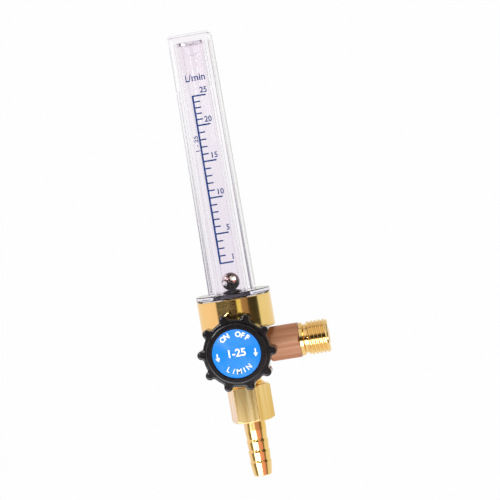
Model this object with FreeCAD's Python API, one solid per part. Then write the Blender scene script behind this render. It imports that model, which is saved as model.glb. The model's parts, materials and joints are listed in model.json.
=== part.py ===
import FreeCAD, Part
import os
from math import cos, pi, radians, sin, sqrt, tan

V = FreeCAD.Vector

# Flow meter for welding gas. The metering tube stands on Z, the inlet leaves along +X
# and the needle valve along -Y, a little higher. Tube and inlet meet at one point, from
# which every height, reach and depth below is measured, in millimetres.
# Gas goes in at the inlet, up inside the tube past the ball, over the tube's top, down
# between tube and cover, through the needle valve and out at the hose tail.

# Clearances
fit_gap = 0.05          # radial, where a thread or a shank goes into its bore
end_gap = 0.05          # axial, where a loose piece is not clamped
edge = 0.3              # broken edge on turned brass

# Valve body: a cup over a round block, turned in one piece
cup_r = 15.2
cup_bottom = 8.0
cup_height = 13.5
block_r = 10.5
block_bottom = -10.5
block_chamfer = 1.5
neck_r = 5.9
neck_length = 3.3
spot_r = 7.9            # faces milled on the block for the inlet and the valve
spot_reach = 8.5
socket_depth = 7.2      # ring-shaped socket in the cup for the cover's spigot
tower_wall = 1.05       # socket for the tube's foot, standing in the middle of the cup
tower_rise = 0.2
foot_socket_spare = 0.5
settling_r = 4.2        # wider hole under the tube's foot
settling_depth = 3.0

# Drilled ways in the body
inlet_port_depth = 3.0  # threaded ports for the inlet and the valve
valve_port_depth = 5.1
feed_r = 1.2            # in from the inlet port, then up to the tube
feed_x = 3.2
feed_y = 1.4
valve_chamber_r = 2.6
valve_chamber_depth = 2.2
seat_hole_r = 0.9
seat_length = 2.4
drain_r = 1.2           # from the valve seat down to the outlet
drain_x = -0.6
return_r = 0.9          # from the cup's floor down to the valve
return_reach = 4.5
return_z = 4.4
outlet_bore_r = 3.2

# Outlet: thread on the body, union nut and hose tail
outlet_thread_r = 6.8
outlet_thread_length = 9.7
outlet_chamfer = 0.8
nut_flats = 16.0
nut_length = 15.0
nut_floor = 2.8
nut_turn = -99.7        # where one flat faces, in degrees from +X
tail_washer_t = 0.8
tail_washer_r = 6.4
tail_collar_r = 6.3
tail_collar_t = 2.9
tail_neck_r = 4.7       # where the tail passes the nut's floor
tail_bore_r = 2.7
shank_r = 4.5
shank_length = 3.4      # plain length below the nut
tail_hole_gap = 0.1
barb_count = 4
barb_pitch = 4.43
barb_root_r = 4.15
barb_tip_r = 3.7
barb_tip_length = 6.0

# Inlet: sealing washer, hexagon and threaded nipple
port_thread_r = 4.95    # the threads that go into the body and into the hexagon
inlet_washer_t = 1.5
port_washer_r = 6.1
inlet_collar_r = 6.4
inlet_collar_t = 1.5
inlet_flats = 14.0
inlet_hex_length = 12.9
inlet_hex_turn = -2.6   # how far the hexagon stopped past level
inlet_bore_r = 2.5
nipple_stub_length = 7.0
nipple_collar_r = 6.8
nipple_collar_t = 1.4
nipple_relief_r = 6.1
nipple_relief_t = 1.4
nipple_thread_r = 7.0
nipple_thread_length = 9.0
nipple_chamfer = 0.8
nipple_bore_r = 2.75

# Metering tube, tapered outside and in, and what it stands on
tube_foot_r = 5.6
tube_foot_length = 7.9
tube_base_r = 6.75
tube_top_r = 5.9
tube_length = 102.5
tube_bore_base_r = 3.9
tube_bore_top_r = 4.5
tube_seal_t = 1.7
tube_seal_lip = 0.15    # how far the seal stands out past the tube
seat_rise = 1.2         # how far the ball's seat stands up inside the tube
seat_bore_r = 1.5
seat_lip_r = 1.9
seat_cone = 0.6
ball_r = 3.72
stop_disc_lip = 0.2
stop_disc_t = 0.95
stop_pin_r = 1.3
stop_pin_length = 4.5
stop_notches = 4
stop_notch_width = 2.4
stop_web_r = 2.6

# Cover: one clear moulding, a drafted square hood on a round flange with a spigot
hood_base_gap = 0.25    # between the tube and the hood's flat sides
hood_top_gap = 0.35
hood_corner = 1.2
hood_ceiling = 3.4
hood_top_edge = 1.0
hood_wall = 2.15
hood_inner_corner = 1.6
flange_t = 2.2
spigot_gap = 0.06       # the spigot's bore clears the corners of the hood's square inside
spigot_wall = 1.7
spigot_length = 6.2
cover_seal_t = 1.0

# Needle valve: bonnet, spindle and seals
valve_rise = 0.6        # how far the valve lies above the inlet
bonnet_flats = 14.0
bonnet_hex_length = 4.0
bonnet_seal_t = 0.8
bonnet_nose_r = 3.8
bonnet_nose_length = 1.7
bonnet_nose_gap = 0.5   # between the nose and the floor of its port
bonnet_barrel_r = 4.4
bonnet_barrel_length = 4.1
bonnet_lip = 1.0
valve_travel = 2.0      # from shut to fully open
travel_spare = 0.2
needle_tip_r = 0.35
needle_slope = 0.39     # radius gained per millimetre
needle_base_r = 1.6
spindle_thread_r = 3.4
spindle_thread_length = 4.6
spindle_thread_inset = 0.7
stem_r = 2.2
stem_ring_r = 0.6       # O-ring section
stem_groove_r = 1.65
stem_groove_spare = 0.05
stem_groove_inset = 0.8 # from the gland's floor, with the valve shut
gland_r = 2.9
stem_flat = 1.6         # flat that turns the stem with the knob

# Knob
knob_clearance = 1.0    # from the cup to the knob's rear edge
knob_depth = 11.0
knob_ring_r = 12.2      # raised ring round the label
skirt_shoulder = 1.4    # how far the skirt stands out past the ring
knob_ring_height = 1.9
knob_ring_round = 0.7
knob_wall = 1.8
knob_web = 2.2
label_recess_r = 9.9
label_recess_depth = 1.0
lobe_count = 10
lobe_r = 1.8
lobe_reach = 2.3        # out from the skirt
lobe_fillet = 1.0       # where it runs into the skirt
lobe_round = 0.8
lobe_phase = 22.9       # first lobe, in degrees clockwise from +Z seen from the front
hub_r = 4.5
hub_gap = 1.0           # from the bonnet to the hub
rib_count = 5
rib_t = 1.2
rib_height = 3.4
label_t = 0.5
label_gap = 0.1
screw_r = 1.5
screw_length = 6.5
screw_head_r = 2.5
screw_head_t = 1.7
screw_slot = 0.7
knob_washer_t = 0.5
knob_washer_r = 3.0
knob_well_gap = 0.3
knob_floor = 1.2        # material between the stem's end and the screw's washer

# Heights up the tube
cup_top = cup_bottom + cup_height
socket_floor = cup_top - socket_depth
tower_top = cup_top + tower_rise
tower_bore_r = tube_foot_r + fit_gap
tower_r = tower_bore_r + tower_wall
tube_shoulder = tower_top + tube_seal_t
foot_end = tube_shoulder - tube_foot_length
foot_socket_floor = foot_end - foot_socket_spare
settling_floor = foot_socket_floor - settling_depth
tube_top = tube_shoulder + tube_length
seat_top = tube_shoulder + seat_rise
ball_z = seat_top + sqrt((ball_r + end_gap) ** 2 - seat_bore_r ** 2)
stop_disc_r = tube_top_r + stop_disc_lip
hood_inside_top = tube_top + stop_disc_t + end_gap
cover_top = hood_inside_top + hood_ceiling
hood_base_width = 2 * (tube_base_r + hood_base_gap + hood_wall)
hood_top_width = 2 * (tube_top_r + hood_top_gap + hood_wall)
inside_corner = tube_base_r + hood_base_gap - hood_inner_corner
spigot_bore_r = sqrt(2) * inside_corner + hood_inner_corner + spigot_gap
spigot_r = spigot_bore_r + spigot_wall

# Heights down the outlet
outlet_top = block_bottom - neck_length
outlet_end = outlet_top - outlet_thread_length
tail_top = outlet_end - tail_washer_t
nut_floor_top = tail_top - tail_collar_t
nut_bottom = nut_floor_top - nut_floor

# Reaches along the inlet
inlet_port_floor = spot_reach - inlet_port_depth
inlet_collar_x = spot_reach + inlet_washer_t
inlet_hex_x = inlet_collar_x + inlet_collar_t
nipple_x = inlet_hex_x + inlet_hex_length
nipple_thread_x = nipple_x + nipple_collar_t + nipple_relief_t
inlet_reach = nipple_thread_x + nipple_thread_length

# Reaches along the valve
valve_port_floor = spot_reach - valve_port_depth
chamber_floor = valve_port_floor - valve_chamber_depth
bonnet_hex_reach = spot_reach + bonnet_seal_t
bonnet_barrel_reach = bonnet_hex_reach + bonnet_hex_length
bonnet_end = bonnet_barrel_reach + bonnet_barrel_length
bonnet_nose_end = valve_port_floor + bonnet_nose_gap
spindle_thread_start = bonnet_nose_end + spindle_thread_inset
spindle_thread_end = spindle_thread_start + spindle_thread_length
gland_floor = spindle_thread_end + valve_travel + travel_spare
stem_groove_width = 2 * (stem_ring_r + stem_groove_spare)
stem_groove_reach = gland_floor + stem_groove_inset
knob_rear = cup_r + knob_clearance
knob_front = knob_rear + knob_depth
skirt_r = knob_ring_r + skirt_shoulder
label_seat = knob_front - label_recess_depth
hub_rear = bonnet_end + hub_gap
well_floor = label_seat - label_gap - screw_head_t - knob_washer_t
stem_socket_floor = well_floor - knob_floor
stem_end = stem_socket_floor - end_gap


def turned(outline):
    """Solid of revolution about Z from its (radius, height) corners."""
    corners = [V(r, 0, z) for r, z in outline + outline[:1]]
    face = Part.Face(Part.makePolygon(corners))
    return face.revolve(V(0, 0, 0), V(0, 0, 1), 360)


def rod(radius, start, end, x=0, y=0):
    return Part.makeCylinder(radius, end - start, V(x, y, start))


def ring(outer_r, inner_r, start, end):
    return rod(outer_r, start, end).cut(rod(inner_r, start, end))


def block(x0, x1, y0, y1, z0, z1):
    return Part.makeBox(x1 - x0, y1 - y0, z1 - z0, V(x0, y0, z0))


def turn(shape, degrees):
    return shape.rotated(V(0, 0, 0), V(0, 0, 1), degrees)


def hexagon(flats, start, end, facing):
    """Hexagon bar with both ends chamfered at 30 degrees; one flat faces the given angle."""
    corner_r = flats / 2 / cos(pi / 6)
    corners = [V(corner_r * cos(pi / 6 + pi / 3 * i), corner_r * sin(pi / 6 + pi / 3 * i), start)
               for i in range(7)]
    bar = turn(Part.Face(Part.makePolygon(corners)).extrude(V(0, 0, end - start)), facing)
    face_r = flats / 2 - edge
    drop = (corner_r - face_r) * tan(pi / 6)
    return bar.common(turned([(0, start), (face_r, start), (corner_r, start + drop),
                              (corner_r, end - drop), (face_r, end), (0, end)]))


def along_inlet(shape):
    """Turn a piece built up Z so that it lies along +X."""
    return shape.rotated(V(0, 0, 0), V(0, 1, 0), 90)


def along_valve(shape):
    """Turn a piece built up Z so that it lies along the valve; its own Y then points up."""
    return shape.rotated(V(0, 0, 0), V(1, 0, 0), 90).translated(V(0, 0, valve_rise))


def round_rim(shape, radius, height, fillet):
    """Round the circular edges that have this radius and height."""
    rims = [e for e in shape.Edges
            if isinstance(e.Curve, Part.Circle) and abs(e.Curve.Radius - radius) < 1e-6
            and abs(e.Curve.Center.z - height) < 1e-6]
    return shape.makeFillet(fillet, rims)


def valve_body():
    body = turned([
        (0, cup_top), (cup_r - edge, cup_top), (cup_r, cup_top - edge),
        (cup_r, cup_bottom + edge), (cup_r - edge, cup_bottom), (block_r, cup_bottom),
        (block_r, block_bottom + block_chamfer), (block_r - block_chamfer, block_bottom),
        (neck_r, block_bottom), (neck_r, outlet_top),
        (outlet_thread_r, outlet_top - outlet_chamfer),
        (outlet_thread_r, outlet_end + outlet_chamfer),
        (outlet_thread_r - outlet_chamfer, outlet_end), (0, outlet_end)])
    body = body.cut(ring(spigot_r + fit_gap, tower_r, socket_floor, cup_top))
    body = body.fuse(rod(tower_r, socket_floor, tower_top))
    body = body.cut(rod(tower_bore_r, foot_socket_floor, tower_top))
    body = body.cut(rod(settling_r, settling_floor, foot_socket_floor))
    for lay, port_floor in ((along_inlet, inlet_port_floor), (along_valve, valve_port_floor)):
        body = body.cut(lay(rod(spot_r, spot_reach, cup_r)))
        body = body.cut(lay(rod(port_thread_r + fit_gap, port_floor, spot_reach)))
    return body.cut(drilled_ways()).removeSplitter()


def drilled_ways():
    seat_end = chamber_floor - seat_length
    feed = rod(feed_r, 0, settling_floor, feed_x, feed_y)
    feed_in = along_inlet(rod(feed_r, feed_x, inlet_port_floor, 0, feed_y))
    chamber = along_valve(rod(valve_chamber_r, chamber_floor, valve_port_floor))
    seat = along_valve(rod(seat_hole_r, seat_end, chamber_floor))
    bore_top = block_bottom + block_chamfer
    drain = rod(drain_r, bore_top, valve_rise + seat_hole_r, drain_x, -seat_end)
    bore = rod(outlet_bore_r, outlet_end, bore_top)
    top = V(0, -(tower_r + return_r), socket_floor)
    foot = V(0, -return_reach, return_z)
    way = foot - top
    overshoot = way * (return_r / way.Length)
    back = Part.makeCylinder(return_r, way.Length + return_r, top - overshoot, way)
    return feed.fuse([feed_in, chamber, seat, drain, bore, back])


def flow_cover():
    flange_top = cup_top + flange_t
    foot = turned([
        (0, cup_top - spigot_length), (spigot_r - edge, cup_top - spigot_length),
        (spigot_r, cup_top - spigot_length + edge), (spigot_r, cup_top), (cup_r - edge, cup_top),
        (cup_r, cup_top + edge), (cup_r, flange_top - edge), (cup_r - edge, flange_top),
        (0, flange_top)])
    hood = drafted_square(0, hood_corner, cover_top)
    top_edges = [e for e in hood.Edges if abs(e.BoundBox.ZMin - cover_top) < 1e-6]
    hood = hood.makeFillet(hood_top_edge, top_edges).fuse(foot)
    inside = drafted_square(hood_wall, hood_inner_corner, hood_inside_top)
    inside = inside.fuse(rod(spigot_bore_r, cup_top - spigot_length, cup_top + edge))
    return hood.cut(inside).removeSplitter()


def drafted_square(inset, corner, top):
    """The hood's tapered form from the cup's top to a height, with its sides moved inwards."""
    narrowing = (hood_base_width - hood_top_width) * (top - cup_top) / (cover_top - cup_top)
    base = hood_base_width - 2 * inset
    return Part.makeLoft([rounded_square(base, corner, cup_top),
                          rounded_square(base - narrowing, corner, top)], True, True)


def rounded_square(width, corner, height):
    half = width / 2
    straight = half - corner
    edges = []
    for quarter in range(4):
        side = Part.makeLine(V(half, -straight, height), V(half, straight, height))
        bend = Part.makeCircle(corner, V(straight, straight, height), V(0, 0, 1), 0, 90)
        edges += [turn(side, 90 * quarter), turn(bend, 90 * quarter)]
    return Part.Wire(edges)


def metering_tube():
    return turned([
        (tube_bore_base_r, foot_end), (tube_foot_r - edge, foot_end),
        (tube_foot_r, foot_end + edge), (tube_foot_r, tube_shoulder),
        (tube_base_r, tube_shoulder), (tube_top_r, tube_top), (tube_bore_top_r, tube_top),
        (tube_bore_base_r, seat_top)])


def float_seat():
    outer_r = tube_bore_base_r - fit_gap
    return turned([
        (seat_bore_r, foot_end), (outer_r, foot_end), (outer_r, seat_top - seat_cone),
        (seat_lip_r, seat_top), (seat_bore_r, seat_top)])


def float_ball():
    return Part.makeSphere(ball_r, V(0, 0, ball_z))


def float_stop():
    disc = rod(stop_disc_r, tube_top, tube_top + stop_disc_t)
    notch = block(stop_web_r, stop_disc_r, -stop_notch_width / 2, stop_notch_width / 2,
                  tube_top, tube_top + stop_disc_t)
    for i in range(stop_notches):
        disc = disc.cut(turn(notch, 360 / stop_notches * i + 45))
    pin = rod(stop_pin_r, tube_top - stop_pin_length, tube_top)
    return disc.fuse(round_rim(pin, stop_pin_r, tube_top - stop_pin_length, stop_pin_r / 2))


def tube_seal():
    return ring(tube_base_r + tube_seal_lip, tower_bore_r, tower_top, tube_shoulder)


def cover_seal():
    top = cup_top - spigot_length
    return ring(spigot_r, spigot_bore_r, socket_floor, top)


def inlet_washer():
    return along_inlet(ring(port_washer_r, port_thread_r + fit_gap, spot_reach, inlet_collar_x))


def inlet_hex():
    stub_end = inlet_port_floor + end_gap
    hexagonal = hexagon(inlet_flats, inlet_hex_x, nipple_x, inlet_hex_turn)
    round_part = turned([
        (0, stub_end), (port_thread_r - edge, stub_end), (port_thread_r, stub_end + edge),
        (port_thread_r, inlet_collar_x), (inlet_collar_r, inlet_collar_x),
        (inlet_collar_r, inlet_hex_x), (0, inlet_hex_x)])
    socket_end = nipple_x - nipple_stub_length - 2 * edge
    hexagonal = hexagonal.fuse(round_part)
    hexagonal = hexagonal.cut(rod(port_thread_r + fit_gap, socket_end, nipple_x))
    return along_inlet(hexagonal.cut(rod(inlet_bore_r, stub_end, socket_end)))


def inlet_nipple():
    stub_end = nipple_x - nipple_stub_length
    relief_x = nipple_x + nipple_collar_t
    relief_slope = nipple_thread_r - nipple_relief_r
    return along_inlet(turned([
        (nipple_bore_r, stub_end), (port_thread_r - edge, stub_end),
        (port_thread_r, stub_end + edge), (port_thread_r, nipple_x),
        (nipple_collar_r, nipple_x), (nipple_collar_r, relief_x - edge),
        (nipple_relief_r, relief_x), (nipple_relief_r, nipple_thread_x - relief_slope),
        (nipple_thread_r, nipple_thread_x), (nipple_thread_r, inlet_reach - nipple_chamfer),
        (nipple_thread_r - nipple_chamfer, inlet_reach), (nipple_bore_r, inlet_reach)]))


def bonnet():
    thread_start = bonnet_nose_end + bonnet_nose_length
    round_part = turned([
        (0, bonnet_nose_end), (bonnet_nose_r, bonnet_nose_end), (bonnet_nose_r, thread_start),
        (port_thread_r, thread_start + edge), (port_thread_r, bonnet_hex_reach),
        (bonnet_barrel_r, bonnet_hex_reach), (bonnet_barrel_r, bonnet_end - edge),
        (bonnet_barrel_r - edge, bonnet_end), (0, bonnet_end)])
    piece = round_part.fuse(hexagon(bonnet_flats, bonnet_hex_reach, bonnet_barrel_reach, 90))
    piece = piece.cut(rod(spindle_thread_r + fit_gap, bonnet_nose_end, gland_floor))
    piece = piece.cut(rod(gland_r, gland_floor, bonnet_end - bonnet_lip))
    return along_valve(piece.cut(rod(stem_r + fit_gap, bonnet_end - bonnet_lip, bonnet_end)))


def bonnet_seal():
    return along_valve(ring(port_washer_r, port_thread_r + fit_gap, spot_reach, bonnet_hex_reach))


def spindle():
    tip = chamber_floor - (seat_hole_r - fit_gap - needle_tip_r) / needle_slope
    cone_end = tip + (needle_base_r - needle_tip_r) / needle_slope
    groove_end = stem_groove_reach + stem_groove_width
    piece = turned([
        (0, tip), (needle_tip_r, tip), (needle_base_r, cone_end),
        (needle_base_r, spindle_thread_start), (spindle_thread_r, spindle_thread_start),
        (spindle_thread_r, spindle_thread_end), (stem_r, spindle_thread_end),
        (stem_r, stem_groove_reach), (stem_groove_r, stem_groove_reach),
        (stem_groove_r, groove_end), (stem_r, groove_end), (stem_r, stem_end), (0, stem_end)])
    flat = block(-stem_r, stem_r, stem_flat, stem_r, hub_rear, stem_end)
    tapped = rod(screw_r + fit_gap, stem_end - screw_length, stem_end)
    return along_valve(piece.cut([flat, tapped]))


def stem_o_ring():
    middle = stem_groove_reach + stem_groove_width / 2
    return along_valve(Part.makeTorus(stem_groove_r + stem_ring_r + end_gap / 2, stem_ring_r,
                                      V(0, 0, middle)))


def knob():
    shoulder = knob_front - knob_ring_height
    shell = lobed_skirt(shoulder)
    raised = round_rim(rod(knob_ring_r, knob_rear, knob_front), knob_ring_r, knob_front,
                       knob_ring_round)
    recess = turned([
        (0, label_seat), (label_recess_r, label_seat), (label_recess_r, knob_front - edge),
        (label_recess_r + edge, knob_front), (0, knob_front)])
    web_rear = label_seat - knob_web
    shell = shell.fuse(raised).cut(recess)
    shell = shell.cut(rod(skirt_r - knob_wall, knob_rear, web_rear))
    return along_valve(shell.fuse([rod(hub_r, hub_rear, label_seat), ribs(web_rear)])
                       .cut(hub_bore()).removeSplitter())


def lobed_skirt(shoulder):
    lobe = rod(lobe_r, knob_rear, shoulder, 0, skirt_r + lobe_reach - lobe_r)
    step = 360 / lobe_count
    lobes = [turn(lobe, -lobe_phase - step * i) for i in range(lobe_count)]
    skirt = rod(skirt_r, knob_rear, shoulder).multiFuse(lobes).removeSplitter()
    hollows = [e for e in skirt.Edges
               if isinstance(e.Curve, Part.Line) and e.BoundBox.XLength + e.BoundBox.YLength < 1e-6
               and abs(sqrt(e.CenterOfMass.x ** 2 + e.CenterOfMass.y ** 2) - skirt_r) < 1e-3]
    skirt = skirt.makeFillet(lobe_fillet, hollows)
    rim = [e for e in skirt.Edges if e.BoundBox.ZMin > shoulder - 1e-6]
    return skirt.makeFillet(lobe_round, rim)


def ribs(web_rear):
    rib = block(0, skirt_r - knob_wall + edge, -rib_t / 2, rib_t / 2, web_rear - rib_height,
                web_rear)
    return rib.multiFuse([turn(rib, 360 / rib_count * i) for i in range(1, rib_count)])


def hub_bore():
    stem = rod(stem_r + fit_gap, hub_rear, stem_socket_floor)
    flat = stem_flat + fit_gap
    stem = stem.cut(block(-hub_r, hub_r, flat, hub_r, hub_rear, stem_socket_floor))
    hole = rod(screw_r + 2 * fit_gap, stem_socket_floor, well_floor)
    well = rod(knob_washer_r + knob_well_gap, well_floor, label_seat)
    return stem.fuse([hole, well])


def knob_disc():
    return along_valve(rod(label_recess_r - 2 * fit_gap, label_seat, label_seat + label_t))


def knob_screw():
    head_start = well_floor + knob_washer_t
    head = round_rim(rod(screw_head_r, head_start, head_start + screw_head_t), screw_head_r,
                     head_start + screw_head_t, screw_head_t / 3)
    slot = block(-screw_head_r, screw_head_r, -screw_slot / 2, screw_slot / 2,
                 head_start + screw_head_t / 2, head_start + screw_head_t)
    return along_valve(head.cut(slot).fuse(rod(screw_r, stem_end - screw_length + edge,
                                               head_start)))


def knob_washer():
    return along_valve(ring(knob_washer_r, screw_r + 2 * fit_gap, well_floor,
                            well_floor + knob_washer_t))


def union_nut():
    nut = hexagon(nut_flats, nut_bottom, nut_bottom + nut_length, nut_turn)
    nut = nut.cut(rod(outlet_thread_r + fit_gap, nut_floor_top, nut_bottom + nut_length))
    return nut.cut(rod(tail_neck_r + tail_hole_gap, nut_bottom, nut_floor_top))


def tail_washer():
    return ring(tail_washer_r, outlet_bore_r, tail_top, outlet_end)


def hose_tail():
    outline = [(tail_bore_r, tail_top), (tail_collar_r, tail_top),
               (tail_collar_r, nut_floor_top), (tail_neck_r, nut_floor_top),
               (tail_neck_r, nut_bottom), (shank_r, nut_bottom)]
    crest_z = nut_bottom - shank_length
    for i in range(barb_count - 1):
        outline += [(shank_r, crest_z), (barb_root_r, crest_z - barb_pitch)]
        crest_z -= barb_pitch
    tip_z = crest_z - barb_tip_length
    outline += [(shank_r, crest_z), (barb_tip_r, tip_z + edge), (barb_tip_r - edge, tip_z),
                (tail_bore_r, tip_z)]
    return turned(outline)


pieces = {
    "valve_body": valve_body,
    "flow_cover": flow_cover,
    "cover_seal": cover_seal,
    "metering_tube": metering_tube,
    "tube_seal": tube_seal,
    "float_seat": float_seat,
    "float_ball": float_ball,
    "float_stop": float_stop,
    "inlet_washer": inlet_washer,
    "inlet_hex": inlet_hex,
    "inlet_nipple": inlet_nipple,
    "bonnet": bonnet,
    "bonnet_seal": bonnet_seal,
    "spindle": spindle,
    "stem_o_ring": stem_o_ring,
    "knob": knob,
    "knob_disc": knob_disc,
    "knob_screw": knob_screw,
    "knob_washer": knob_washer,
    "union_nut": union_nut,
    "tail_washer": tail_washer,
    "hose_tail": hose_tail,
}

# The part's origin is the middle of the inlet's end face, where it seats on its supply
to_origin = V(-inlet_reach, 0, 0)
os.makedirs("parts", exist_ok=True)
for name, make in pieces.items():
    make().translated(to_origin).exportStep("parts/" + name + ".step")
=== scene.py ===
import json
import math
import bmesh
import bpy
from mathutils import Matrix, Vector


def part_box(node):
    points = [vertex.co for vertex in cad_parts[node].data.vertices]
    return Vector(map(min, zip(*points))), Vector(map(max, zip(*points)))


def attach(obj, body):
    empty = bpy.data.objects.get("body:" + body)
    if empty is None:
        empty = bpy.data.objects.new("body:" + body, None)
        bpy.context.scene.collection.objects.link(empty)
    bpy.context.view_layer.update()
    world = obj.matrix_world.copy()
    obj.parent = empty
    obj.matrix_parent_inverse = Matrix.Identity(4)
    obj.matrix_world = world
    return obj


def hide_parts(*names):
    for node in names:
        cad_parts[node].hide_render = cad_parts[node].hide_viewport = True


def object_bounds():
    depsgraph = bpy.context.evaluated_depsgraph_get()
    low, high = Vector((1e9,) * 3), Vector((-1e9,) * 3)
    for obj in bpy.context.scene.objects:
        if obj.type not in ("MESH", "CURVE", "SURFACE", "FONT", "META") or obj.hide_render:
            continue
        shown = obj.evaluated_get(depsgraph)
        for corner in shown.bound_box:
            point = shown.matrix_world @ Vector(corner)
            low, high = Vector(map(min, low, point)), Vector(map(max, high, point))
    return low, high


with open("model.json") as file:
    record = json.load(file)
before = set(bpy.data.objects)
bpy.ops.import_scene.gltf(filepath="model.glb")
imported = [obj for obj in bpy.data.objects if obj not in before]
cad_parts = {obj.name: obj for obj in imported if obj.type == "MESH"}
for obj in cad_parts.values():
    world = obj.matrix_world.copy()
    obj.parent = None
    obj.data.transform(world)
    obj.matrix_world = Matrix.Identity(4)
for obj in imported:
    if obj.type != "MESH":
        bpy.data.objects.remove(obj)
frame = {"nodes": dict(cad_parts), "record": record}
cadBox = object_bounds()
nodes = frame["nodes"]
mm = 0.001
across = Vector((1, 0, 0))
up = Vector((0, 0, 1))
standUp = Matrix.Rotation(math.radians(90), 4, "X")  # print is set lying down, in X-Y

tailMount = next(m for m in frame["record"]["mounts"] if m["name"] == "hose_tail")
threadMount = next(m for m in frame["record"]["mounts"] if m["name"] == "inlet_thread")
axisX = tailMount["pos_m"][0]  # the metering tube stands on this line
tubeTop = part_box("metering_tube")[1][2]
discLow, discHigh = (Vector(c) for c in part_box("knob_disc"))
discCentre = (discLow + discHigh) / 2


# ---- shader helpers ----
class Socket:  # an output socket; arithmetic on it adds Math nodes
    def __init__(self, paint, link):
        self.paint, self.link = paint, link

    def maths(self, operation, *values):
        return self.paint.node("ShaderNodeMath", {"operation": operation}, dict(enumerate(values)))

    def __add__(self, other):
        return self.maths("ADD", self, other)

    def __sub__(self, other):
        return self.maths("SUBTRACT", self, other)

    def __rsub__(self, other):
        return self.maths("SUBTRACT", other, self)

    def __mul__(self, other):
        return self.maths("MULTIPLY", self, other)

    def __truediv__(self, other):
        return self.maths("DIVIDE", self, other)

    def __pow__(self, other):
        return self.maths("POWER", self, other)

    __radd__, __rmul__ = __add__, __mul__


class Paint:  # the node tree of one material, or of the world
    def __init__(self, owner):
        owner.use_nodes = True
        self.tree = owner.node_tree

    def node(self, kind, settings=None, inputs=None, output=0):
        made = self.tree.nodes.new(kind)
        for key, value in (settings or {}).items():
            if key == "stops":
                ramp = made.color_ramp
                while len(ramp.elements) < len(value):
                    ramp.elements.new(1.0)
                for element, (place, colour) in zip(ramp.elements, value):
                    element.position, element.color = place, (*colour, 1)
            else:
                setattr(made, key, value)
        for key, value in (inputs or {}).items():
            self.feed(made.inputs[key], value)
        return Socket(self, made.outputs[output])

    def feed(self, socket, value):
        if isinstance(value, Socket):
            self.tree.links.new(value.link, socket)
        elif isinstance(value, (tuple, list)) and len(value) == 3 and socket.type == "RGBA":
            socket.default_value = (*value, 1)
        else:
            socket.default_value = value

    def place(self, scale=(1, 1, 1), offset=(0, 0, 0)):  # Object coordinates, stretched
        coords = self.node("ShaderNodeTexCoord", output="Object")
        return self.node("ShaderNodeMapping", inputs={"Vector": coords, "Location": offset,
                                                      "Scale": scale})

    def noise(self, scale, stretch=(1, 1, 1), detail=3, roughness=0.5):
        return self.node("ShaderNodeTexNoise", inputs={"Vector": self.place(stretch),
                         "Scale": scale, "Detail": detail, "Roughness": roughness})

    def axes(self, vector):
        return [self.node("ShaderNodeSeparateXYZ", inputs={0: vector}, output=i)
                for i in range(3)]

    def ramp(self, factor, stops):
        return self.node("ShaderNodeValToRGB", {"stops": stops}, {"Fac": factor})

    def smooth(self, value, start, end):  # 0 before start, 1 after end
        return self.node("ShaderNodeMapRange", {"interpolation_type": "SMOOTHSTEP"},
                         {"Value": value, "From Min": start, "From Max": end})

    def mix(self, factor, first, second):
        return self.node("ShaderNodeMix", {"data_type": "RGBA"},
                         {0: factor, 6: first, 7: second}, 2)

    def bump(self, height, distance, strength):
        return self.node("ShaderNodeBump", inputs={"Height": height, "Distance": distance,
                                                   "Strength": strength})


def material(name, constants, build=None):
    made = bpy.data.materials.new(name)
    paint = Paint(made)
    shader = paint.tree.nodes["Principled BSDF"]
    for key, value in constants.items():
        paint.feed(shader.inputs[key], value)
    for key, value in (build(paint) if build else {}).items():
        paint.feed(shader.inputs[key], value)
    return made


# ---- plain finishes: a fine grain in the gloss, clouds where there are two colours ----
grainLooks = {  # roughness is the least, and what the grain adds; bump is depth and strength
    "brightBrass": {
        "grain": {"scale": 700, "detail": 2}, "roughness": (0.05, 0.09),
        "cloud": {"scale": 160}, "colours": ((0.93, 0.68, 0.30), (0.84, 0.56, 0.20))},
    "copper": {
        "grain": {"scale": 300}, "roughness": (0.22, 0.2),
        "colours": ((0.66, 0.32, 0.20), (0.50, 0.22, 0.12))},
    "black": {
        "grain": {"scale": 900, "detail": 2}, "roughness": (0.1, 0.08),
        "cloud": {"scale": 140, "detail": 4},
        "colours": ((0.0016, 0.001, 0.0018), (0.0035, 0.0022, 0.004)),
        "bump": (0.02 * mm, 0.1)},
    "rubber": {"grain": {"scale": 1200}, "roughness": (0.42, 0.2), "bump": (0.02 * mm, 0.3)},
    "steel": {
        "grain": {"scale": 900, "stretch": (0.1, 6, 0.1), "detail": 2}, "roughness": (0.18, 0.14)},
    "nylon": {"grain": {"scale": 600, "detail": 2}, "roughness": (0.35, 0.2)},
    "ink": {
        "grain": {"scale": 1600, "detail": 2}, "roughness": (0.4, 0.15),
        "colours": ((0.0005, 0.017, 0.09), (0.001, 0.028, 0.14))},
    "labelWhite": {"grain": {"scale": 1300, "detail": 2}, "roughness": (0.3, 0.15)},
}


def grained(look):
    values = grainLooks[look]

    def build(paint):
        grain = paint.noise(**values["grain"])
        least, added = values["roughness"]
        inputs = {"Roughness": least + added * grain}
        if "colours" in values:
            cloud = paint.noise(**values["cloud"]) if "cloud" in values else grain
            inputs["Base Color"] = paint.mix(cloud, *values["colours"])
        if "bump" in values:
            inputs["Normal"] = paint.bump(grain, *values["bump"])
        return inputs
    return build


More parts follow.
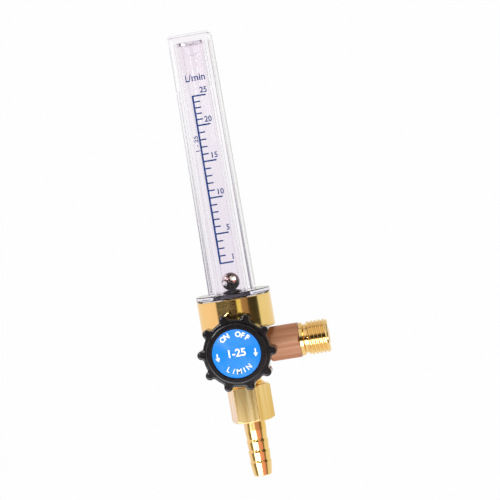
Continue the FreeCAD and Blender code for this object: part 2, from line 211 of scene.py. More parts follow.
# ---- drawn bar: streaks along its length, with a finer grain ----
barLooks = {
    "brass": {
        "streak": {"scale": 520, "stretch": (1, 1, 0.035)},
        "fine": {"scale": 1500, "stretch": (1, 1, 0.02), "detail": 2},
        "stops": [(0.3, (0.74, 0.50, 0.20)), (0.5, (0.84, 0.60, 0.27)),
                  (0.72, (0.90, 0.68, 0.36))],
        "roughness": (0.08, 0.1), "fineShare": 0.4, "bump": (0.03 * mm, 0.3)},
    "bronze": {
        "streak": {"scale": 430, "stretch": (0.03, 1, 1), "detail": 4, "roughness": 0.6},
        "fine": {"scale": 1400, "stretch": (0.02, 1, 1), "detail": 2},
        "stops": [(0.30, (0.30, 0.135, 0.075)), (0.50, (0.42, 0.205, 0.12)),
                  (0.72, (0.56, 0.31, 0.20))],
        "roughness": (0.26, 0.18), "fineShare": 0.5, "bump": (0.05 * mm, 0.5)},
}


def drawnBar(look):
    values = barLooks[look]

    def build(paint):
        streak, fine = paint.noise(**values["streak"]), paint.noise(**values["fine"])
        least, added = values["roughness"]
        return {"Base Color": paint.ramp(streak, values["stops"]),
                "Roughness": least + added * fine,
                "Normal": paint.bump(streak + values["fineShare"] * fine, *values["bump"])}
    return build


# ---- the turned body: tool marks round it and faint tarnish ----
bodyLook = {
    "marks": {"scale": 420, "stretch": (0.04, 0.04, 12), "detail": 2},
    "cloud": {"scale": 110, "detail": 4},
    "stain": {"scale": 260, "detail": 5, "roughness": 0.7},
    "stainRange": (0.66, 0.8),  # of the noise, from clean to tarnished
    "colours": ((0.88, 0.62, 0.25), (0.80, 0.53, 0.18)),
    "tarnish": (0.55, 0.33, 0.10),
    "tarnishShare": 0.35,
    "roughness": (0.07, 0.08, 0.1),  # least, what the marks add, what the tarnish adds
    "bump": (0.02 * mm, 0.2),
}


def turnedBrass(paint):
    marks = paint.noise(**bodyLook["marks"])
    colour = paint.mix(paint.noise(**bodyLook["cloud"]), *bodyLook["colours"])
    stain = paint.smooth(paint.noise(**bodyLook["stain"]), *bodyLook["stainRange"])
    least, byMarks, byStain = bodyLook["roughness"]
    return {"Base Color": paint.mix(bodyLook["tarnishShare"] * stain, colour,
                                    bodyLook["tarnish"]),
            "Roughness": least + byMarks * marks + byStain * stain,
            "Normal": paint.bump(marks, *bodyLook["bump"])}


# ---- the polished ball, with painted reflections of windows over a dark table ----
ballLook = {  # lengths are in radii of the ball
    "patches": [  # place, reach and colour
        ((-0.57, -0.54, 0.62), 0.42, (0.72, 0.6, 0.6)),
        ((-0.545, -0.83, -0.1), 0.27, (1.0, 0.98, 0.97)),
        ((0.352, -0.84, 0.41), 0.31, (1.0, 0.94, 0.8)),
        ((0.44, -0.9, 0.0), 0.15, (0.5, 0.2, 0.15))],
    "patchEdge": 0.05,  # softness
    "lower": (0.012, 0.008, 0.011),
    "upper": (0.15, 0.085, 0.08),
    "join": (-0.2, 0.3),  # heights between which the lower colour gives way to the upper
    "wobble": 0.24,  # unevenness of all these outlines
    "wobbleNoise": {"scale": 420, "detail": 2},
    "roughness": (0.02, 0.03),
    "grain": {"scale": 800, "detail": 2},
}


def polishedBall(paint):
    low, high = (Vector(c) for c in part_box("float_ball"))
    radius, centre = (high.z - low.z) / 2, (low + high) / 2
    spot = paint.place((1 / radius,) * 3, tuple(-centre / radius))
    wobble = (ballLook["wobble"] * paint.noise(**ballLook["wobbleNoise"])
              - ballLook["wobble"] / 2)
    rise = paint.smooth(paint.axes(spot)[2] + wobble, *ballLook["join"])
    colour = paint.mix(rise, ballLook["lower"], ballLook["upper"])
    edge = ballLook["patchEdge"]
    for place, reach, tint in ballLook["patches"]:
        gap = paint.node("ShaderNodeVectorMath", {"operation": "DISTANCE"},
                         {0: spot, 1: place}, 1)
        inside = 1 - paint.smooth(gap + wobble, reach - edge, reach + edge)
        colour = paint.mix(inside, colour, tint)
    least, added = ballLook["roughness"]
    return {"Base Color": colour, "Roughness": least + added * paint.noise(**ballLook["grain"])}


# ---- clear mouldings, tinted where light has a long way through them, with painted shade at the tube's rim and down the hood's corners ----
scuffLook = {"noise": {"scale": 300, "stretch": (1, 1, 0.2), "detail": 5, "roughness": 0.7},
             "range": (0.62, 0.8)}
tubeLook = {
    "body": (0.975, 0.955, 0.975),
    "scuffed": (0.95, 0.93, 0.95),
    # painted shade: the dark line drawn round the tube's upper end
    "rim": (0.86, 0.83, 0.87),
    "rimShadeRise": (-0.32 * mm, -0.2 * mm),  # from the tube's top
    "roughness": (0.01, 0.015),
}
hoodLook = {
    "middle": (0.972, 0.957, 0.975),
    "foot": (0.945, 0.925, 0.95),
    "top": (0.955, 0.925, 0.95),
    "flange": (0.86, 0.83, 0.88),
    # painted shade: the dark lines drawn down the hood's corners
    "corner": (0.2, 0.17, 0.24),
    "footRise": (25 * mm, 100 * mm),  # heights between which one tint gives way to the next
    "topRise": (100 * mm, 126 * mm),
    "flangeRise": (23.4 * mm, 23.9 * mm),
    "cornerShadeRise": (23.7 * mm, 24.2 * mm),
    "cornerShadeReach": (8.35 * mm, 8.8 * mm),  # from the middle, in width and in depth
    "draft": 0.007,  # each wall leans in by this share of the height
    "cornerShadeLeast": 0.15,  # share of the painted corner shade that stays at the top
    "roughness": (0.015, 0.015),
}


def scuffs(paint):
    return paint.smooth(paint.noise(**scuffLook["noise"]), *scuffLook["range"])


def clearTube(paint):  # hairline scuffs, and painted shade: a dark line round the upper end, drawn where the rim shows dark
    scuff = scuffs(paint)
    rimShadeLow, rimShadeHigh = tubeLook["rimShadeRise"]
    rim = paint.smooth(paint.axes(paint.place())[2], tubeTop + rimShadeLow, tubeTop + rimShadeHigh)
    body = paint.mix(scuff, tubeLook["body"], tubeLook["scuffed"])
    least, added = tubeLook["roughness"]
    return {"Base Color": paint.mix(rim, body, tubeLook["rim"]),
            "Roughness": least + added * scuff}


def clearHood(paint):  # painted shade darkens the corners, most at the foot
    x, y, z = paint.axes(paint.place(offset=(-axisX, 0, 0)))
    side, front = (s.maths("ABSOLUTE", s) for s in (x, y))
    reach = side.maths("MINIMUM", side, front) + hoodLook["draft"] * z
    corner = (paint.smooth(reach, *hoodLook["cornerShadeReach"])
              * paint.smooth(z, *hoodLook["cornerShadeRise"]))
    low = 1 - paint.smooth(z, *hoodLook["footRise"])
    body = paint.mix(low, hoodLook["middle"], hoodLook["foot"])
    body = paint.mix(paint.smooth(z, *hoodLook["topRise"]), body, hoodLook["top"])
    body = paint.mix(paint.smooth(z, *hoodLook["flangeRise"]), hoodLook["flange"], body)
    share = hoodLook["cornerShadeLeast"] + (1 - hoodLook["cornerShadeLeast"]) * low
    least, added = hoodLook["roughness"]
    return {"Base Color": paint.mix(corner * share, body, hoodLook["corner"]),
            "Roughness": least + added * scuffs(paint)}


# ---- the blue metal label, with fine turned rings under the print ----
labelLook = {
    "colours": ((0.001, 0.20, 0.74), (0.002, 0.23, 0.82)),
    "cloud": {"scale": 120, "detail": 2},
    "ring": (0.002, 0.14, 0.62),
    "ringShare": 0.25,
    "ringsPerMetre": 2600,
    "roughness": (0.15, 0.1),
}


def printedMetal(paint):
    x, y, z = paint.axes(paint.place(offset=(-discCentre.x, 0, -discCentre.z)))
    radius = (x * x + z * z) ** 0.5
    rings = paint.node("ShaderNodeTexNoise", {"noise_dimensions": "1D"},
                       {"W": radius * labelLook["ringsPerMetre"], "Scale": 1.0, "Detail": 2.0})
    colour = paint.mix(paint.noise(**labelLook["cloud"]), *labelLook["colours"])
    least, added = labelLook["roughness"]
    return {"Base Color": paint.mix(labelLook["ringShare"] * rings, colour, labelLook["ring"]),
            "Roughness": least + added * rings}


metal = {"Metallic": 1.0}
glass = {"Transmission Weight": 1.0, "IOR": 1.49, "Specular Tint": (0.3, 0.3, 0.3)}
rubber = {"Base Color": (0.008, 0.007, 0.009), "Specular IOR Level": 0.2}
paints = {
    "turnedBrass": material("turned_brass", metal, turnedBrass),
    "drawnBrass": material("drawn_brass", metal, drawnBar("brass")),
    "bronzeBar": material("bronze_bar", metal, drawnBar("bronze")),
    "brightBrass": material("bright_brass", metal, grained("brightBrass")),
    "copper": material("washer_copper", metal, grained("copper")),
    "clear": material("clear_moulding", glass, clearHood),
    "clearTube": material("clear_tube", glass, clearTube),
    "steelBall": material("polished_steel", metal, polishedBall),
    "stainless": material("stainless", metal | {"Base Color": (0.6, 0.6, 0.6)},
                          grained("steel")),
    "black": material("black_moulding", {"Specular IOR Level": 0.5}, grained("black")),
    "rubber": material("black_rubber", rubber, grained("rubber")),
    "sealRubber": material("seal_rubber", {"Base Color": (0.035, 0.029, 0.042)},
                           grained("rubber")),
    "blue": material("blue_label", {"Specular IOR Level": 0.35}, printedMetal),
    "white": material("white_washer", {"Base Color": (0.8, 0.8, 0.78)}, grained("nylon")),
    "ink": material("blue_ink", {"Specular IOR Level": 0.1}, grained("ink")),
    "labelWhite": material("white_print", {"Base Color": (0.9, 0.9, 0.9)},
                           grained("labelWhite")),
}
finishes = {
    "valve_body": "turnedBrass", "bonnet": "drawnBrass", "union_nut": "drawnBrass",
    "inlet_hex": "bronzeBar", "inlet_nipple": "brightBrass", "hose_tail": "brightBrass",
    "inlet_washer": "copper", "bonnet_seal": "copper", "flow_cover": "clear",
    "metering_tube": "clearTube", "float_stop": "clearTube", "float_ball": "steelBall",
    "spindle": "stainless", "knob_screw": "stainless", "knob_washer": "stainless",
    "knob": "black", "knob_disc": "blue", "tube_seal": "sealRubber", "float_seat": "rubber",
    "cover_seal": "rubber", "stem_o_ring": "rubber", "tail_washer": "white",
}
for name, finish in finishes.items():
    nodes[name].data.materials.clear()
    nodes[name].data.materials.append(paints[finish])
for name in ("flow_cover", "metering_tube", "float_stop"):
    nodes[name].visible_shadow = False  # clear pieces let the lamps through
print("finishes done")


# ---- mesh helpers ----
def addObject(name, data):
    made = bpy.data.objects.new(name, data)
    bpy.context.scene.collection.objects.link(made)
    return made


def finishPiece(bm, name, body, paint, replaced=(), sharp=35):  # sharp in degrees
    bmesh.ops.remove_doubles(bm, verts=bm.verts, dist=1e-6)
    bmesh.ops.recalc_face_normals(bm, faces=bm.faces)
    for face in bm.faces:
        face.smooth = True
    for edge in bm.edges:
        edge.smooth = len(edge.link_faces) == 2 and edge.calc_face_angle() < math.radians(sharp)
    mesh = bpy.data.meshes.new(name)
    bm.to_mesh(mesh)
    bm.free()
    mesh.materials.append(paints[paint])
    piece = addObject(name, mesh)
    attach(piece, body)
    if replaced:
        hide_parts(*replaced)
    return piece


def spinOutline(bm, outline, axis, steps):  # outline runs along and out from axis
    out = up if abs(axis.z) < 0.5 else Vector((0, -1, 0))
    verts = [bm.verts.new(axis * along + out * radius) for along, radius in outline]
    edges = [bm.edges.new(pair) for pair in zip(verts, verts[1:])]
    bmesh.ops.spin(bm, geom=verts + edges, cent=(0, 0, 0), axis=axis, angle=math.tau,
                   steps=steps, use_merge=True)


def boundaryLoop(bm, axis, along, reach=1e-5):  # open edges at one place on the axis
    return [e for e in bm.edges if e.is_boundary
            and all(abs(v.co.dot(axis) - along) < reach for v in e.verts)]


def cut(bm, place, normal, clearOuter=False):  # across the X axis
    bmesh.ops.bisect_plane(bm, geom=bm.verts[:] + bm.edges[:] + bm.faces[:],
                           plane_co=across * place, plane_no=normal, clear_outer=clearOuter)


# ---- softened edges: nut, adapter and hose tail, rounded as tumbling leaves them ----
softEdges = {
    "union_nut": {"width": 0.3 * mm, "paint": "drawnBrass", "slot": "nut_brass"},
    "inlet_hex": {"width": 0.14 * mm, "paint": "bronzeBar", "slot": "bronze_hex"},
    "hose_tail": {"width": 0.1 * mm, "paint": "brightBrass", "slot": "bright_brass"},
}
softAngles = {  # degrees
    "flat": 1.5,  # faces that meet under this are one
    "corner": 24,  # edges over this are rounded
    "sharp": 28,
}


def softened(name, values):
    bm = bmesh.new()
    bm.from_mesh(nodes[name].data)
    bmesh.ops.remove_doubles(bm, verts=bm.verts, dist=1e-6)
    bmesh.ops.dissolve_limit(bm, angle_limit=math.radians(softAngles["flat"]), verts=bm.verts,
                             edges=bm.edges)
    corners = [e for e in bm.edges if len(e.link_faces) == 2
               and e.calc_face_angle() > math.radians(softAngles["corner"])]
    bmesh.ops.bevel(bm, geom=corners, offset=values["width"], offset_type="OFFSET", segments=2,
                    profile=0.5, affect="EDGES", clamp_overlap=True, material=-1)
    bmesh.ops.triangulate(bm, faces=[f for f in bm.faces if len(f.verts) > 4])
    piece = finishPiece(bm, name + "_soft", "housing", values["paint"],
                        (name,), softAngles["sharp"])
    flats = piece.modifiers.new("flats", "WEIGHTED_NORMAL")  # only the rounded edges shade round
    flats.weight, flats.keep_sharp = 100, True


for name, values in softEdges.items():
    softened(name, values)
print("softened edges done")

# ---- inlet nipple, with its thread cut as a true helix ----
nippleSizes = {
    "pitch": 1.6 * mm,  # a little coarser than M14 x 1.5
    "depth": 0.5 * mm,
    "crest": 0.2,  # share of the pitch
    "root": 0.16,
    "stepsPerTurn": 72,
    "collar": 6.8 * mm,  # radius
    "collarLength": 1.4 * mm,
    "collarSlope": 0.5 * mm,  # length from the collar's edge down to the relief
    "softEdge": 0.12 * mm,
    "relief": 6.05 * mm,  # radius
    "reliefCut": 0.12 * mm,  # how much deeper the relief is turned
    "runIn": 0.45 * mm,  # the thread rises from the relief over this length
    "runInStep": 0.02 * mm,
    "endChamfer": 0.8 * mm,
    "bore": 2.75 * mm,
    "boreChamfer": 0.35 * mm,
    "stub": 4.9 * mm,  # radius of the part inside the adapter
    "sharp": 40,  # degrees
}


def makeNipple(sizes):
    bm = bmesh.new()
    crest = threadMount["dims"]["r_mm"] * mm
    root = crest - sizes["depth"]
    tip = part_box("inlet_nipple")[1][0]
    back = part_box("inlet_nipple")[0][0]
    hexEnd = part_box("inlet_hex")[1][0]
    start = threadMount["pos_m"][0] - threadMount["dims"]["length_mm"] * mm / 2
    pitch, steps = sizes["pitch"], sizes["stepsPerTurn"]
    flank = (1 - sizes["crest"] - sizes["root"]) / 2
    middle = (root + crest) / 2
    shares = [(0, root), (sizes["root"], root), (sizes["root"] + flank / 2, middle),
              (sizes["root"] + flank, crest), (1 - flank, crest), (1 - flank / 2, middle),
              (1, root)]
    first = start - 2 * pitch
    verts = [bm.verts.new((first + share * pitch, 0, radius)) for share, radius in shares]
    edges = [bm.edges.new(pair) for pair in zip(verts, verts[1:])]
    turns = math.ceil((tip - first) / pitch) + 1
    bmesh.ops.spin(bm, geom=verts + edges, cent=(0, 0, 0), axis=across, angle=math.tau * turns,
                   steps=steps * turns, dvec=across * pitch / steps)
    bmesh.ops.remove_doubles(bm, verts=bm.verts, dist=2e-6)
    cut(bm, start, -across, True)
    cut(bm, tip, across, True)
    for vert in bm.verts:  # chamfer at the end, run-in at the relief
        radius = math.hypot(vert.co.y, vert.co.z)
        limit = min(crest - sizes["endChamfer"] + (tip - vert.co.x),
                    sizes["relief"] + sizes["runInStep"]
                    + (vert.co.x - start) / sizes["runIn"] * (crest - sizes["relief"]))
        if radius > limit:
            vert.co.y *= limit / radius
            vert.co.z *= limit / radius
    collarEnd, relief = hexEnd + sizes["collarLength"], sizes["relief"] - sizes["reliefCut"]
    bore, lip, soft = sizes["bore"], sizes["boreChamfer"], sizes["softEdge"]
    behind = [(start, relief), (collarEnd + sizes["collarSlope"], relief),
              (collarEnd, sizes["collar"] - soft), (collarEnd - soft, sizes["collar"]),
              (hexEnd, sizes["collar"]), (hexEnd, sizes["stub"]), (back, sizes["stub"]),
              (back, bore), (tip - lip, bore), (tip, bore + lip)]
    spinOutline(bm, behind, across, steps)
    bmesh.ops.remove_doubles(bm, verts=bm.verts, dist=1e-6)
    for place in (start, tip):  # flat rings between the thread and the turned part
        bmesh.ops.triangle_fill(bm, edges=boundaryLoop(bm, across, place), use_beauty=True,
                                normal=across)
    finishPiece(bm, "inlet_thread", "housing", "brightBrass",
                ("inlet_nipple",), sizes["sharp"])


makeNipple(nippleSizes)
print("nipple done")

# ---- scale printed on the metering tube ----
scaleSizes = {
    "heights": {1: 36.2 * mm, 5: 48.3 * mm, 10: 63.1 * mm, 15: 78.1 * mm, 20: 92.9 * mm,
                25: 104.9 * mm},
    "line": -2.35 * mm,  # the upright line, sideways from the tube's middle
    "longEnd": 3.25 * mm,
    "shortEnd": 0.45 * mm,
    "stroke": 0.62 * mm,
    "shortStroke": 0.9,  # of the stroke
    "lineStroke": 0.82 * mm,
    "digits": 2.4 * mm,  # height
    "digitsFont": 1.36,  # font size for a height of 1
    "digitWidth": 0.66,  # of the height
    "digitsRight": 4.15 * mm,
    "digitsLift": 0.8 * mm,  # over their line
    "unit": "L/min",
    "unitSize": 3.0 * mm,
    "unitFont": 1.35,
    "unitHeight": 112.2 * mm,
    "unitMiddle": -0.2 * mm,
    "range": "1 - 25",
    "rangeSize": 2.0 * mm,
    "rangeFont": 1.5,
    "rangeHeight": 85.5 * mm,
    "rangeMiddle": -4.1 * mm,
    "bold": 0.06 * mm,
    "film": 0.03 * mm,
    "filmRise": 0.6,  # the film's middle over the tube's wall, of its thickness
    "cuts": 14,  # to each side of the middle, so that the print lies round the tube
    "cutPitch": 0.42 * mm,
}


def textMesh(bm, body, size, matrix, depth, bold):
    curve = bpy.data.curves.new("print", "FONT")
    curve.body, curve.size, curve.extrude = body, size, depth / 2
    curve.align_x, curve.align_y = "CENTER", "CENTER"
    curve.resolution_u, curve.offset = 3, bold
    holder = addObject("print", curve)
    bpy.context.view_layer.update()
    mesh = bpy.data.meshes.new_from_object(holder)
    mesh.transform(matrix)
    bm.from_mesh(mesh)
    bpy.data.objects.remove(holder)
    bpy.data.curves.remove(curve)
    bpy.data.meshes.remove(mesh)


def flatBar(bm, left, right, low, high, depth):  # in the X-Z plane, thin along Y
    middle = Matrix.Translation(((left + right) / 2, 0, (low + high) / 2))
    bmesh.ops.create_cube(bm, size=1, matrix=middle @ Matrix.Diagonal(
        (right - left, depth, high - low, 1)))


def tubeTaper():  # radius at the shoulder, the shoulder's height, growth for a unit of height
    low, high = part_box("metering_tube")
    spots = [v.co for v in nodes["metering_tube"].data.vertices]
    near = 0.1 * mm
    top = max(math.hypot(c.x - axisX, c.y) for c in spots if c.z > high[2] - near)
    base = (high[0] - low[0]) / 2
    shoulder = min(c.z for c in spots if math.hypot(c.x - axisX, c.y) > base - near)
    return base, shoulder, (top - base) / (high[2] - shoulder)


def makeScale(sizes):
    bm = bmesh.new()
    heights, film, bold = sizes["heights"], sizes["film"], sizes["bold"]
    line, lineHalf, half = sizes["line"], sizes["lineStroke"] / 2, sizes["stroke"] / 2
    marks = sorted(heights)
    flatBar(bm, line - lineHalf, line + lineHalf, heights[marks[0]] - half,
            heights[marks[-1]] + half, film)
    short = half * sizes["shortStroke"]
    for first, last in zip(marks, marks[1:]):
        for step in range(1, last - first):
            z = heights[first] + (heights[last] - heights[first]) * step / (last - first)
            flatBar(bm, line, sizes["shortEnd"], z - short, z + short, film)
    digits = sizes["digits"]
    for value in marks:
        z = heights[value]
        flatBar(bm, line, sizes["longEnd"], z - half, z + half, film)
        width = digits * sizes["digitWidth"] * len(str(value))
        spot = (sizes["digitsRight"] - width / 2, 0, z + digits * 0.5 + sizes["digitsLift"])
        textMesh(bm, str(value), digits * sizes["digitsFont"],
                 Matrix.Translation(spot) @ standUp, film, bold)
    spot = (sizes["unitMiddle"], 0, sizes["unitHeight"])
    textMesh(bm, sizes["unit"], sizes["unitSize"] * sizes["unitFont"],
             Matrix.Translation(spot) @ standUp, film, bold)
    spot = (sizes["rangeMiddle"], 0, sizes["rangeHeight"])
    sideways = Matrix.Rotation(math.radians(90), 4, "Z")
    textMesh(bm, sizes["range"], sizes["rangeSize"] * sizes["rangeFont"],
             Matrix.Translation(spot) @ standUp @ sideways, film, bold / 2)
    for i in range(-sizes["cuts"], sizes["cuts"] + 1):
        cut(bm, i * sizes["cutPitch"], across)
    base, shoulder, taper = tubeTaper()
    for vert in bm.verts:
        radius = base + taper * (vert.co.z - shoulder)
        angle = vert.co.x / radius
        out = radius + film * sizes["filmRise"] - vert.co.y
        vert.co.x, vert.co.y = axisX + out * math.sin(angle), -out * math.cos(angle)
    finishPiece(bm, "scale_print", "housing", "ink")


makeScale(scaleSizes)
print("scale done")

# ---- the knob's label, a blue disc faced on a lathe ----
discSizes = {
    "ringPitch": 0.36 * mm,
    "ringDepth": 0.026 * mm,
    "pointsPerRing": 6,
    "softEdge": 0.12 * mm,
    "steps": 96,
    "sharp": 50,  # degrees
}


def makeDisc(sizes):
    bm = bmesh.new()
    radius, points = (discHigh.x - discLow.x) / 2, sizes["pointsPerRing"]
    rim = radius - sizes["softEdge"]
    count = round(rim / sizes["ringPitch"]) * points
    outline = [(discLow.y + sizes["ringDepth"] * (1 - math.cos(math.tau * i / points)) / 2,
                rim * i / count) for i in range(count + 1)]
    outline += [(discLow.y + sizes["softEdge"], radius), (discHigh.y, radius), (discHigh.y, 0)]
    spinOutline(bm, outline, Vector((0, 1, 0)), sizes["steps"])
    bmesh.ops.translate(bm, verts=bm.verts, vec=(discCentre.x, 0, discCentre.z))
    finishPiece(bm, "label_disc", "knob_set", "blue", ("knob_disc",),
                sizes["sharp"])


makeDisc(discSizes)
print("disc done")

# ---- print on the knob's label ----
labelSizes = {  # angles in degrees, anticlockwise from the label's right-hand side
    "film": 0.03 * mm,
    "font": 1.35,  # font size for a letter of height 1
    "bold": 0.09 * mm,
    "arcSize": 2.15 * mm,
    "letterPitch": 0.9,  # of the letter size
    "upper": {"ON": 118, "OFF": 62},
    "upperRadius": 7.75 * mm,
    "lower": "L/MIN",
    "lowerAngle": -90,
    "lowerRadius": 7.2 * mm,
    "lowerPitch": 1.14,  # of the upper letters' pitch
    "lowerBold": 0.4,
    "middle": "1-25",
    "middleSize": 3.2 * mm,
    "middleHeight": 0.2 * mm,
    "arrowTails": {172: 17, 8: -17},  # where each starts, and how far it runs
    "arrowRadius": 7.7 * mm,
    "arrowWidth": 1.05 * mm,
    "shaftWidth": 0.22,  # half of it, of the arrow's width
    "shaftCuts": 6,
}


def labelPoint(radius, angle):
    return Vector((discCentre.x + radius * math.cos(angle), 0,
                   discCentre.z + radius * math.sin(angle)))


def arcText(bm, body, radius, middle, sizes, inward=False):  # inward: tops to the centre
    spread, thickness = (sizes["lowerPitch"], sizes["lowerBold"]) if inward else (1, 1)
    pitch = sizes["arcSize"] * sizes["letterPitch"] / radius * spread
    for i, letter in enumerate(body):
        step = (i - (len(body) - 1) / 2) * pitch
        angle = math.radians(middle) + (step if inward else -step)
        turnBy = angle + math.radians(90 if inward else -90)
        place = Matrix.Translation(labelPoint(radius, angle)) @ Matrix.Rotation(-turnBy, 4, "Y")
        textMesh(bm, letter, sizes["arcSize"] * sizes["font"], place @ standUp, sizes["film"],
                 sizes["bold"] * thickness)


def arcArrow(bm, tail, span, sizes):
    arrow = bmesh.new()
    radius, width, film = sizes["arrowRadius"], sizes["arrowWidth"], sizes["film"]
    half = width * sizes["shaftWidth"]
    flatBar(arrow, -half, half, -0.5, 0.5, film)
    shaft = span - math.copysign(math.degrees(width * 0.5 / radius), span)  # up to the head
    sides = [e for e in arrow.edges if abs(e.verts[0].co.z - e.verts[1].co.z) > 0.5]
    bmesh.ops.subdivide_edges(arrow, edges=sides, cuts=sizes["shaftCuts"], use_grid_fill=True)
    for vert in arrow.verts:
        angle = math.radians(tail + shaft * (0.5 - vert.co.z))
        spot = labelPoint(radius + vert.co.x, angle)
        vert.co.x, vert.co.z = spot.x, spot.z
    end = math.radians(tail + span)
    heading = end + math.copysign(math.radians(90), span)
    place = (Matrix.Translation(labelPoint(radius, end)) @ Matrix.Rotation(-heading, 4, "Y")
             @ standUp @ Matrix.Rotation(math.radians(-90), 4, "Z"))
    bmesh.ops.create_cone(arrow, cap_ends=True, segments=3, radius1=width, radius2=width,
                          depth=film, matrix=place)
    mesh = bpy.data.meshes.new("arrow")
    arrow.to_mesh(mesh)
    arrow.free()
    bm.from_mesh(mesh)
    bpy.data.meshes.remove(mesh)


def makeLabelPrint(sizes):
    bm = bmesh.new()
    film = sizes["film"]
    for body, angle in sizes["upper"].items():
        arcText(bm, body, sizes["upperRadius"], angle, sizes)
    arcText(bm, sizes["lower"], sizes["lowerRadius"], sizes["lowerAngle"], sizes, True)
    spot = (discCentre.x, 0, discCentre.z + sizes["middleHeight"])
    textMesh(bm, sizes["middle"], sizes["middleSize"] * sizes["font"],
             Matrix.Translation(spot) @ standUp, film, sizes["bold"])
    for tail, span in sizes["arrowTails"].items():
        arcArrow(bm, tail, span, sizes)
    bmesh.ops.translate(bm, verts=bm.verts, vec=(0, discLow.y - film * 0.5, 0))
    finishPiece(bm, "label_print", "knob_set", "labelWhite")


makeLabelPrint(labelSizes)
print("label done")

# ---- stage: a white bowl round the meter ----
stageSizes = {
    "drop": 0.10,  # the floor below the hose tail
    "flat": 1.3,
    "bend": 0.9,
    "bendSteps": 14,
    "wall": 2.6,
    "steps": 96,
    "glow": (0.99, 0.99, 0.995),
}


def sweepFloor(sizes):
    bm = bmesh.new()
    z = cadBox[0][2] - sizes["drop"]
    flat, bend = sizes["flat"], sizes["bend"]
    outline = [(0, z), (flat, z)]
    for i in range(1, sizes["bendSteps"] + 1):
        angle = math.pi / 2 * i / sizes["bendSteps"]
        outline.append((flat + bend * math.sin(angle), z + bend * (1 - math.cos(angle))))
    outline.append((flat + bend, sizes["wall"]))
    verts = [bm.verts.new((out, 0, height)) for out, height in outline]
    edges = [bm.edges.new(pair) for pair in zip(verts, verts[1:])]
    bmesh.ops.spin(bm, geom=verts + edges, cent=(0, 0, 0), axis=up, angle=math.tau,
                   steps=sizes["steps"], use_merge=True)
    bmesh.ops.remove_doubles(bm, verts=bm.verts, dist=1e-5)
    bmesh.ops.translate(bm, verts=bm.verts, vec=(axisX, 0, 0))
    for face in bm.faces:
        face.smooth = True
    mesh = bpy.data.meshes.new("sweep")
    bm.to_mesh(mesh)
    bm.free()
    floor = addObject("sweep", mesh)
    floor.visible_glossy = floor.visible_diffuse = floor.visible_shadow = False
    mesh.materials.append(material("sweep_paper", {
        "Base Color": (0, 0, 0), "Roughness": 1.0, "Specular IOR Level": 0.0,
        "Emission Color": sizes["glow"], "Emission Strength": 1.0}))


cameraPlace = {
    "azimuth": 5.5,  # degrees to the right of straight ahead
    "distance": 0.83,  # from the tube, level
    "height": 0.071,
    "aimRight": 0.0099,  # of the tube, as the camera sees it
    "aimHeight": 0.0394,
    "roll": 9.5,  # the meter leans to the left
    "lens": 146,
    "sensor": 36,
    "clip": (0.01, 50),
}


def makeCamera(place):
    turnBy = math.radians(place["azimuth"])
    back = Vector((math.sin(turnBy), -math.cos(turnBy), 0))
    side = Vector((math.cos(turnBy), math.sin(turnBy), 0))
    axis = Vector((axisX, 0, 0))
    spot = axis + back * place["distance"] + up * place["height"]
    aim = axis + side * place["aimRight"] + up * place["aimHeight"]
    data = bpy.data.cameras.new("camera")
    data.lens, data.sensor_width = place["lens"], place["sensor"]
    data.clip_start, data.clip_end = place["clip"]
    camera = addObject("camera", data)
    face = (aim - spot).to_track_quat("-Z", "Y").to_matrix()
    roll = Matrix.Rotation(-math.radians(place["roll"]), 3, "Z")
    camera.matrix_world = Matrix.Translation(spot) @ (face @ roll).to_4x4()
    bpy.context.scene.camera = camera


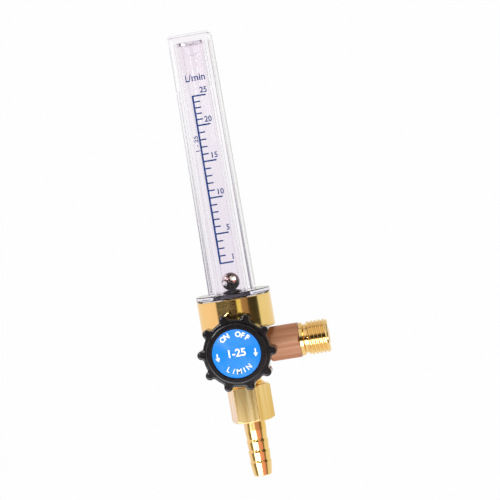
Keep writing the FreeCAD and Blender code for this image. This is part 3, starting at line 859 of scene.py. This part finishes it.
# the studio round the meter: flags and papers by azimuth, 0 where the camera stands and + to
# its right, in four rows: over the table, along its edge, the floor before it, and the ceiling
studio = {
    "rows": {
        "over": [(-179, (1.0, 0.98, 0.95)), (-62, (1.15, 1.0, 1.05)), (-57, (0.055, 0.06, 0.05)),
                 (-30, (0.10, 0.09, 0.085)), (-6, (0.04, 0.035, 0.03)), (5, (0.05, 0.04, 0.03)),
                 (7, (1.0, 0.98, 0.5)), (18, (0.95, 0.9, 0.5)), (21, (0.42, 0.30, 0.24)),
                 (39, (0.34, 0.25, 0.18)), (43, (0.05, 0.05, 0.045)), (75, (0.04, 0.045, 0.04)),
                 (80, (0.95, 1.0, 0.95)), (174, (1.0, 1.0, 0.98))],
        "edge": [(-179, (1.0, 0.98, 1.1)), (-100, (1.0, 0.95, 1.3)), (-92, (0.9, 0.85, 0.8)),
                 (-74, (0.30, 0.26, 0.17)), (-60, (0.26, 0.22, 0.14)), (-54, (1.5, 1.45, 1.5)),
                 (-42, (1.5, 1.45, 1.5)), (-37, (0.68, 0.68, 0.60)), (-24, (0.68, 0.68, 0.60)),
                 (-19, (1.2, 1.15, 1.1)), (-10, (1.0, 0.9, 0.85)), (0, (0.62, 0.36, 0.33)),
                 (44, (0.55, 0.32, 0.28)), (52, (0.2, 0.14, 0.07)), (66, (0.26, 0.2, 0.1)),
                 (76, (0.9, 0.8, 0.52)), (120, (0.95, 0.9, 0.6)), (174, (1.0, 1.0, 0.98))],
        "front": [(-179, (1.0, 0.98, 0.95)), (-98, (0.95, 0.9, 0.85)), (-88, (0.34, 0.30, 0.22)),
                  (-60, (0.22, 0.19, 0.12)), (-54, (5.5, 5.5, 6.0)), (-6, (5.5, 5.5, 6.0)),
                  (2, (1.0, 0.52, 0.5)), (46, (0.9, 0.42, 0.42)), (52, (0.28, 0.2, 0.1)),
                  (66, (0.3, 0.24, 0.12)), (74, (0.95, 0.9, 0.8)), (174, (1.0, 1.0, 0.98))],
        "ceiling": [(-179, (0.8, 0.76, 0.76)), (-110, (0.7, 0.66, 0.66)), (-75, (0.25, 0.2, 0.15)),
                    (-45, (0.35, 0.3, 0.22)), (-20, (0.9, 0.86, 0.86)), (20, (0.8, 0.78, 0.7)),
                    (50, (0.3, 0.25, 0.18)), (85, (0.3, 0.26, 0.2)), (115, (0.7, 0.68, 0.66)),
                    (174, (0.8, 0.76, 0.76))],
    },
    "ground": (1.0, 0.97, 0.94),
    "frontRise": (-15, -7.6),  # elevations in degrees, where one row gives way to the next
    "edgeRise": (-6.1, -5.7),
    "ceilingRise": (14, 34),
    "groundFall": (36, 50),
}


def studioWorld(values):
    world = bpy.data.worlds.new("studio")
    bpy.context.scene.world = world
    paint = Paint(world)
    x, y, z = paint.axes(paint.node("ShaderNodeTexCoord", output="Generated"))
    azimuth = x.maths("ARCTAN2", x, 0 - y) * (180 / math.pi)
    place = azimuth / 360 + (0.5 - cameraPlace["azimuth"] / 360)
    rise = z.maths("ARCSINE", z) * (180 / math.pi)
    over, edge, front, ceiling = (paint.ramp(place, [(a / 360 + 0.5, c) for a, c in stops])
                                  for stops in values["rows"].values())
    level = paint.mix(paint.smooth(rise, *values["frontRise"]), front, edge)
    level = paint.mix(paint.smooth(rise, *values["edgeRise"]), level, over)
    upper = paint.mix(paint.smooth(rise, *values["ceilingRise"]), level, ceiling)
    lower = paint.mix(paint.smooth(0 - rise, *values["groundFall"]), upper, values["ground"])
    paint.feed(paint.tree.nodes["Background"].inputs["Color"], lower)


lamps = {
    "key": {"spot": (-0.75, -0.85, 0.95), "size": 0.6, "power": 10, "glossy": True,
            "diffuse": True},
    "fill": {"spot": (0.95, -0.7, 0.5), "size": 0.8, "power": 6, "glossy": False,
             "diffuse": True},
    "gleam": {"spot": (-0.456, -1.136, 0.182), "size": 0.12, "power": 1.6, "glossy": True,
              "diffuse": False},  # only a highlight
}
lampAim = (axisX, 0, 0.03)


def areaLight(name, values):
    light = bpy.data.lights.new(name, "AREA")
    light.shape = "RECTANGLE"
    light.size = light.size_y = values["size"]
    light.energy = values["power"]
    lamp = addObject(name, light)
    lamp.location = values["spot"]
    aim = Vector(lampAim) - Vector(values["spot"])
    lamp.rotation_euler = aim.to_track_quat("-Z", "Y").to_euler()
    lamp.visible_camera, lamp.visible_glossy = False, values["glossy"]
    lamp.visible_diffuse = values["diffuse"]


makeCamera(cameraPlace)
sweepFloor(stageSizes)
studioWorld(studio)
for name, values in lamps.items():
    areaLight(name, values)
bpy.context.scene.view_settings.view_transform = "Standard"
print("stage done")
